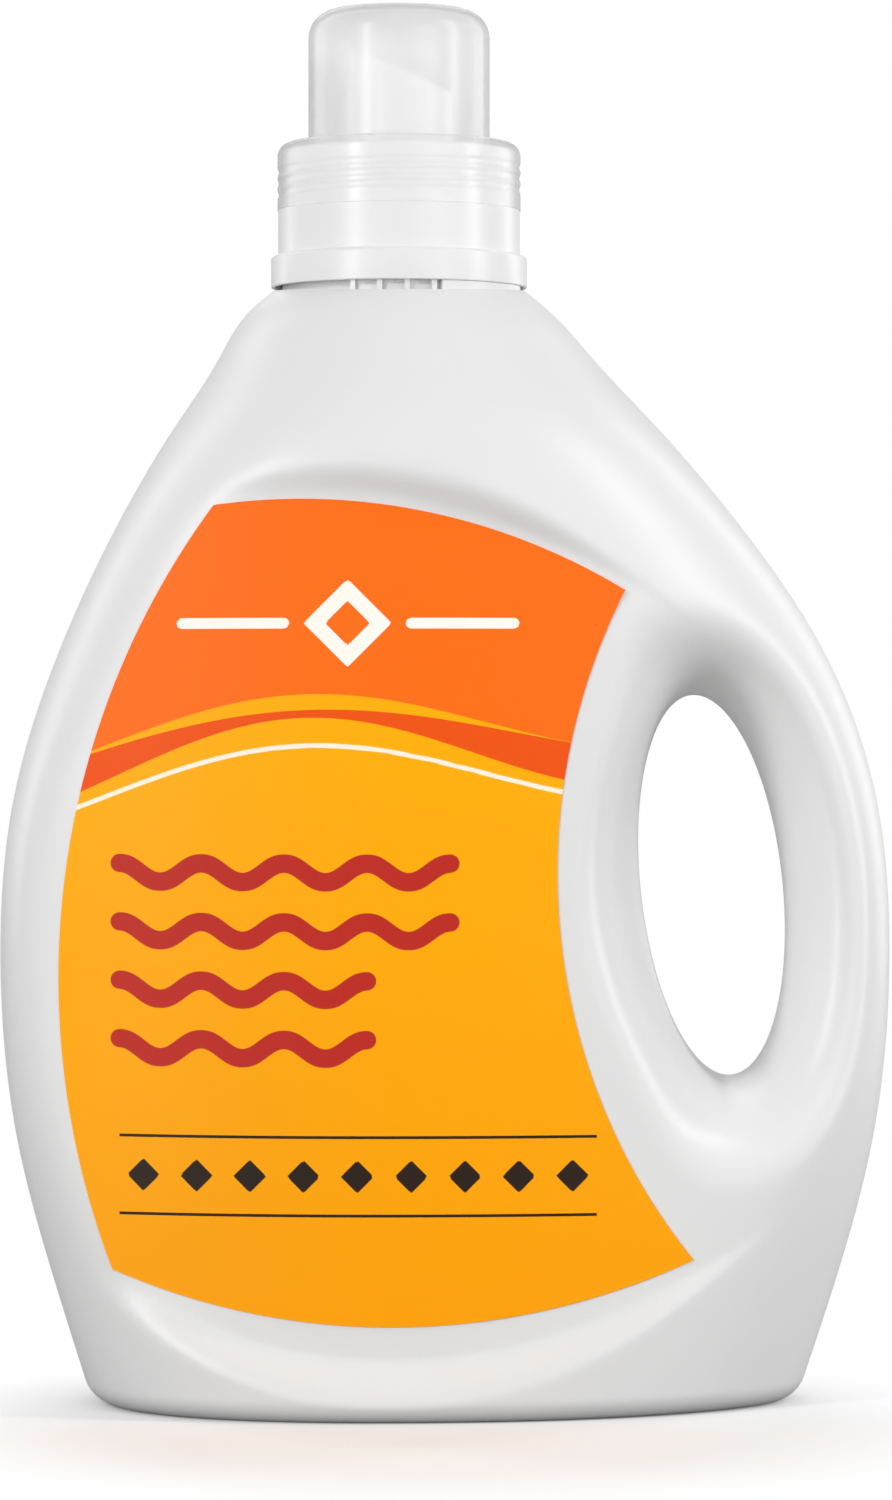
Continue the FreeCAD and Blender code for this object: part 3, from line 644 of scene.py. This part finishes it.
def label(name, side, artwork, prints, columns=165, rows=212):
    """A label: two sheets a film's thickness apart, joined round their edge, on the panel's arcs."""
    x, z = label_grid(columns, rows)
    arc = panel_depth(x, np.full_like(z, LABEL_MIDDLE), 0)
    sheets = [np.stack([x, side * (arc + LABEL_GLUE + lift), z], axis=-1) for lift in (LABEL_FILM, 0)]
    index = np.arange(rows * columns).reshape(rows, columns)
    rim = np.concatenate([index[0, :-1], index[:-1, -1], index[-1, :0:-1], index[:0:-1, 0]])
    ahead = np.roll(rim, -1)
    count = rows * columns
    edge = np.stack([rim, ahead, ahead + count, rim + count], axis=-1)
    faces = np.vstack([grid_faces(rows, columns), grid_faces(rows, columns) + count, edge])
    fields = {field: np.concatenate([values.ravel()] * 2) for field, values in artwork(x, z).items()}
    film = printed_film("printed_film_" + name, (AMBER_LOW, AMBER_HIGH), prints)
    patches = [(np.concatenate(sheets), faces)]
    made = piece(name + "_sheet", patches, "pack", film, fields=fields)
    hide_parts(name)


def blown_bottle():
    """The bottle: outer skin, base, neck with bead, lugs and sills, and the inner wall."""
    ring = 44
    patches = []
    for inset, rows, sides, foot, base_rows in ((0, 112, 104, 84, 22), (WALL, 37, 34, 28, 12)):
        half, ring_columns, foot_columns = skin_half(inset, rows, sides, ring, foot)
        base = base_half(half[0, foot_columns], inset, base_rows)
        half = dipped(half)
        halves = [half, base]
        if inset:
            turn = np.linspace(math.pi, 0, ring + 1)
            bore = np.stack([NECK_X + NECK_BORE * np.cos(turn), -NECK_BORE * np.sin(turn),
                             np.full(ring + 1, LAND - WALL)], axis=-1)
            halves.append(np.stack([half[0, ring_columns], bore]))
        for points in halves:
            faces = grid_faces(*points.shape[:2], closed=points is half)
            patches += [(points, faces), (mirrored(points), faces)]
    collar = rounded([
        (NECK_BORE, LAND - WALL, 0), (LEVELS[-1, 1], LAND, 0), (ROOT_RADIUS, LAND, 0.4),
        (ROOT_RADIUS, ROOT_TOP, 0.4), (NECK_RADIUS, ROOT_TOP, 0.3),
        (NECK_RADIUS, NECK_BEAD_LOW, 0.3), (NECK_BEAD_RADIUS, NECK_BEAD_LOW, 0.3),
        (NECK_BEAD_RADIUS, NECK_BEAD_HIGH, 0.3), (NECK_RADIUS, NECK_BEAD_HIGH, 0.3),
        (NECK_RADIUS, NECK_TOP, 0.5), (NECK_BORE, NECK_TOP, 0.5)], 3)
    collar = np.vstack([collar[1:], collar[:1]])
    patches.append((dipped(turned(collar, 2 * ring)), grid_faces(len(collar), 2 * ring, closed=True)))
    for half_turn in (0, 180):
        for k in range(LUG_COUNT):
            first = half_turn + LUG_FIRST + LUG_PITCH * k
            patches.append(wedge(first, POST_SWEEP, POST_RADIUS, POST_RADIUS, LUG_TOP))
            patches.append(wedge(first + RAMP_AFTER, RAMP_SWEEP, *RAMP_RADII, LUG_TOP))
        patches.append(wedge(
            half_turn + SILL_FIRST, SILL_SWEEP, SILL_RADIUS, SILL_RADIUS, SILL_TOP, SILL_STEPS))
    made = piece("blown_bottle", patches, "pack", blow_moulded_hdpe())
    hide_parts("bottle")


def pour_spout():
    """The pour spout: a turned collar with its threaded ring, and a slanted spout with a drain notch."""
    collar = rounded([
        (TUBE_BORE, SPOUT_UNDER, 0), (TROUGH_OUTER, SPOUT_UNDER, 0.5), (TROUGH_OUTER, NECK_TOP, 0.3),
        (SOCKET_RADIUS, NECK_TOP, 0.3), (SOCKET_RADIUS, SNAP_HIGH, 0), (SNAP_RADIUS, SNAP_HIGH, 0),
        (SNAP_RADIUS, SNAP_LOW, 0), (SOCKET_RADIUS, SNAP_LOW, 0), (SOCKET_RADIUS, SOCKET_FOOT, 0),
        (FLANGE_BORE, SOCKET_FOOT, 0), (FLANGE_BORE, FLANGE_LOW, 0.2), (FLANGE_RADIUS, FLANGE_LOW, 0.3),
        (FLANGE_RADIUS, FLANGE_HIGH, 0.7), (COLLAR_RADIUS, FLANGE_HIGH, 0.5), (COLLAR_RADIUS, DECK, 0.06),
        (RING_RADIUS, DECK, 0.3), (RING_RADIUS, RING_TOP, 0.4), (RING_BORE, RING_TOP, 0.4),
        (RING_BORE, DECK, 0.3), (TROUGH_INNER, DECK, 0.5), (TROUGH_INNER, SPOUT_FLOOR, 1.2),
        (TUBE_RADIUS, SPOUT_FLOOR, 0), (TUBE_BORE, SPOUT_FLOOR, 0)])
    collar = refined(collar, DECK, RING_TOP, THREAD_SPACING)

    def threaded(radius, height, angle):
        ring = (radius > RING_RADIUS - 0.1) & (height > DECK + 0.35) & (radius < RING_RADIUS + 0.1)
        return radius + THREAD_RISE * ring * thread(height, angle, *RING_THREAD), height

    columns = 192
    points = turned(collar, columns, threaded)
    lip_middle, lip_half = (SPOUT_HIGH + SPOUT_LOW) / 2, (SPOUT_HIGH - SPOUT_LOW) / 2
    length = SPOUT_HIGH - SPOUT_FLOOR
    beside_notch = np.linspace(0, NOTCH_HEIGHT, NOTCH_ROWS + 1)
    rise = np.append(beside_notch, np.linspace(NOTCH_HEIGHT, length, 40)[1:])

    def slanted(radius, height, angle):
        lip = lip_middle - lip_half * radius / TUBE_RADIUS * np.cos(angle) - SPOUT_FLOOR
        share = np.clip(height - SPOUT_FLOOR - NOTCH_HEIGHT, 0, None) / (length - NOTCH_HEIGHT)
        return radius, np.minimum(height, SPOUT_FLOOR + NOTCH_HEIGHT) + share * (lip - NOTCH_HEIGHT)

    tube = [np.column_stack([np.full(len(rise), radius), SPOUT_FLOOR + rise])
            for radius in (TUBE_RADIUS, TUBE_BORE)]
    walls = np.concatenate([turned(wall, columns, slanted) for wall in tube])
    half_angle = math.degrees(math.asin(NOTCH_WIDTH / (TUBE_RADIUS + TUBE_BORE)))
    half_notch = int(round(half_angle * columns / 360))
    notch = [k % columns for k in range(-half_notch, half_notch)]
    first, last = (-half_notch) % columns, half_notch
    count = len(rise) * columns
    index = np.arange(count).reshape(len(rise), columns)
    open_face = np.zeros((len(rise) - 1, columns), bool)
    open_face[:NOTCH_ROWS, notch] = True
    kept = grid_faces(len(rise), columns, closed=True)[~open_face.ravel()]
    sides = [index[:NOTCH_ROWS + 1, first], index[:NOTCH_ROWS + 1, last]]
    edges = [*sides, index[NOTCH_ROWS, [*notch, last]], index[-1]]
    joints = [np.stack([edge[:-1], edge[1:], edge[1:] + count, edge[:-1] + count], axis=-1) for edge in edges]
    patches = [(points, grid_faces(len(collar), columns, closed=True)),
               (walls, np.vstack([kept, kept + count, *joints]))]
    made = piece("pour_spout_moulding", patches, "pack", moulded_pp_white())
    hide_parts("pour_spout")


def dosing_cap():
    """The dosing cap: a measuring cup upside down in its skirt, which is grooved outside."""
    body = rounded([
        (0.0, CUP_TOP - CUP_ROOF, 0), (CUP_BORE, CUP_TOP - CUP_ROOF, 4.8), (CUP_BORE, CUP_FOOT, 0.4),
        (CUP_RADIUS, CUP_FOOT, 0.4), (CUP_RADIUS, RING_TOP, 0.5), (SKIRT_BORE, RING_TOP, 0.5),
        (SKIRT_BORE, SEAM, 0.3), (SKIRT_RADIUS, SEAM, 0.06), (SKIRT_RADIUS, SKIRT_TOP, 2.8),
        (CUP_RADIUS, SKIRT_TOP, 0.6), (CUP_RADIUS, CUP_TOP, 6), (0.0, CUP_TOP, 0)], 8)
    body = refined(body, SEAM, GROOVED_TOP, THREAD_SPACING)

    def grooved(radius, height, angle):
        outside = (radius > SKIRT_RADIUS - 0.05) & (height > SEAM + 0.4)
        fade = np.clip((GROOVES_END - height) / GROOVES_FADE, 0, 1)
        return radius - GROOVE_DEPTH * outside * fade * thread(height, angle, *SKIRT_GROOVES), height

    points = turned(body, 192, grooved)
    faces = grid_faces(len(body), 192, closed=True)
    made = piece("dosing_cap_moulding", [(points, faces)], "cap", natural_pp())
    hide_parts("dosing_cap")


def backdrop():
    """A plain pale floor that keeps the soft shadow near the bottle and is plain white further away.
    It shows as pale paper but passes less light on, so that the foot's shadow stays dark."""
    mesh = bpy.data.meshes.new("floor")
    corners = [(FLOOR_HALF * x, FLOOR_HALF * y, 0) for x, y in ((-1, -1), (1, -1), (1, 1), (-1, 1))]
    mesh.from_pydata(corners, [], [(0, 1, 2, 3)])
    material, tree, shader = new_material("matt_white_paper", {"Roughness": 0.9})
    seen = eye_ray(tree, light_path(tree))
    tree.links.new(mixed_colour(tree, seen, PAPER_LIT, PAPER_SEEN), shader.inputs["Base Color"])
    scaled = add(tree, "ShaderNodeVectorMath", {"operation": "MULTIPLY_ADD"}, {
        0: object_place(tree), 1: (1 / SHADOW_ACROSS, 1 / SHADOW_DEEP, 0), 2: (0, SHADOW_SHIFT, 0)})
    away = add(tree, "ShaderNodeVectorMath", {"operation": "LENGTH"}, {0: scaled.outputs[0]}).outputs["Value"]
    far = mapped(tree, away, SHADOW_WHITE, 1.0, SHADOW_INNER, SHADOW_OUTER, "SMOOTHSTEP")
    share = maths(tree, "MULTIPLY", seen, far)
    white = add(tree, "ShaderNodeEmission", links={"Color": (1, 1, 1, 1), "Strength": 1.0})
    mixed = add(tree, "ShaderNodeMixShader", links={0: share, 1: shader.outputs[0], 2: white.outputs[0]})
    tree.links.new(mixed.outputs[0], tree.nodes["Material Output"].inputs["Surface"])
    mesh.materials.append(material)
    floor = bpy.data.objects.new("floor", mesh)
    bpy.context.scene.collection.objects.link(floor)


def area_light(name, place, size, power):
    """A soft rectangular lamp that faces the aim."""
    data = bpy.data.lights.new(name, "AREA")
    data.shape = "RECTANGLE"
    data.size, data.size_y = size
    data.energy = power
    lamp = bpy.data.objects.new(name, data)
    lamp.location = place
    direction = np.array(AIM) - np.array(place)
    turn = math.atan2(-direction[0], direction[1])
    tilt = math.atan2(math.hypot(direction[0], direction[1]), -direction[2])
    lamp.rotation_euler = (tilt, 0, turn)
    bpy.context.scene.collection.objects.link(lamp)


def light_and_camera():
    """Tall soft lamps all round, an even white surround, and a long lens at mid height. The surround is plain
    white where it is seen directly, and as dim as its light where a milky wall would blur it."""
    world = bpy.data.worlds.new("surround")
    bpy.context.scene.world = world
    world.use_nodes = True
    tree = world.node_tree
    tree.nodes.clear()
    path = light_path(tree)
    unveiled = maths(tree, "LESS_THAN", path["Transparent Depth"], 0.5)
    direct = maths(tree, "MULTIPLY", eye_ray(tree, path), unveiled)
    strength = mapped(tree, direct, SURROUND, 1.0)
    sky = add(tree, "ShaderNodeBackground", links={"Color": (1, 1, 1, 1), "Strength": strength})
    add(tree, "ShaderNodeOutputWorld", links={"Surface": sky.outputs[0]})
    for lamp in LAMPS:
        area_light(*lamp)
    data = bpy.data.cameras.new("camera")
    data.lens = CAMERA_LENS
    camera = bpy.data.objects.new("camera", data)
    camera.location = CAMERA_PLACE
    camera.rotation_euler = (math.pi / 2, 0, 0)
    bpy.context.scene.collection.objects.link(camera)
    bpy.context.scene.camera = camera
    bpy.context.scene.view_settings.view_transform = "Standard"


light_and_camera()
backdrop()
blown_bottle()
pour_spout()
dosing_cap()
WAVE_PRINTS = [("upper", ORANGE), ("ribbon", DEEP_ORANGE), ("thin", IVORY), ("mark", CREAM)]
BEAD_RULES = []
for side in (1, -1):
    BEAD_RULES.append(((RIPPLE_LEFT, RULE_RIGHT, BEAD_Z + side * RULE_GAP, RULE_WIDTH), DARK_BROWN))
label("front_label", -1, front_artwork, WAVE_PRINTS + [
    ("heart", ORANGE), ("ripples", DARK_RED), ("beads", DARK_BROWN)] + BEAD_RULES)
PANEL_RULES = []
for k in range(BACK_RULE_COUNT):
    rule = (BACK_RULE_LEFT, BACK_RULE_RIGHTS[k % 3], BACK_RULE_TOP - BACK_RULE_PITCH * k, BACK_RULE_WIDTH)
    PANEL_RULES.append((rule, BROWN))
label("back_label", 1, back_artwork, WAVE_PRINTS + [("panel", PALE)] + PANEL_RULES)
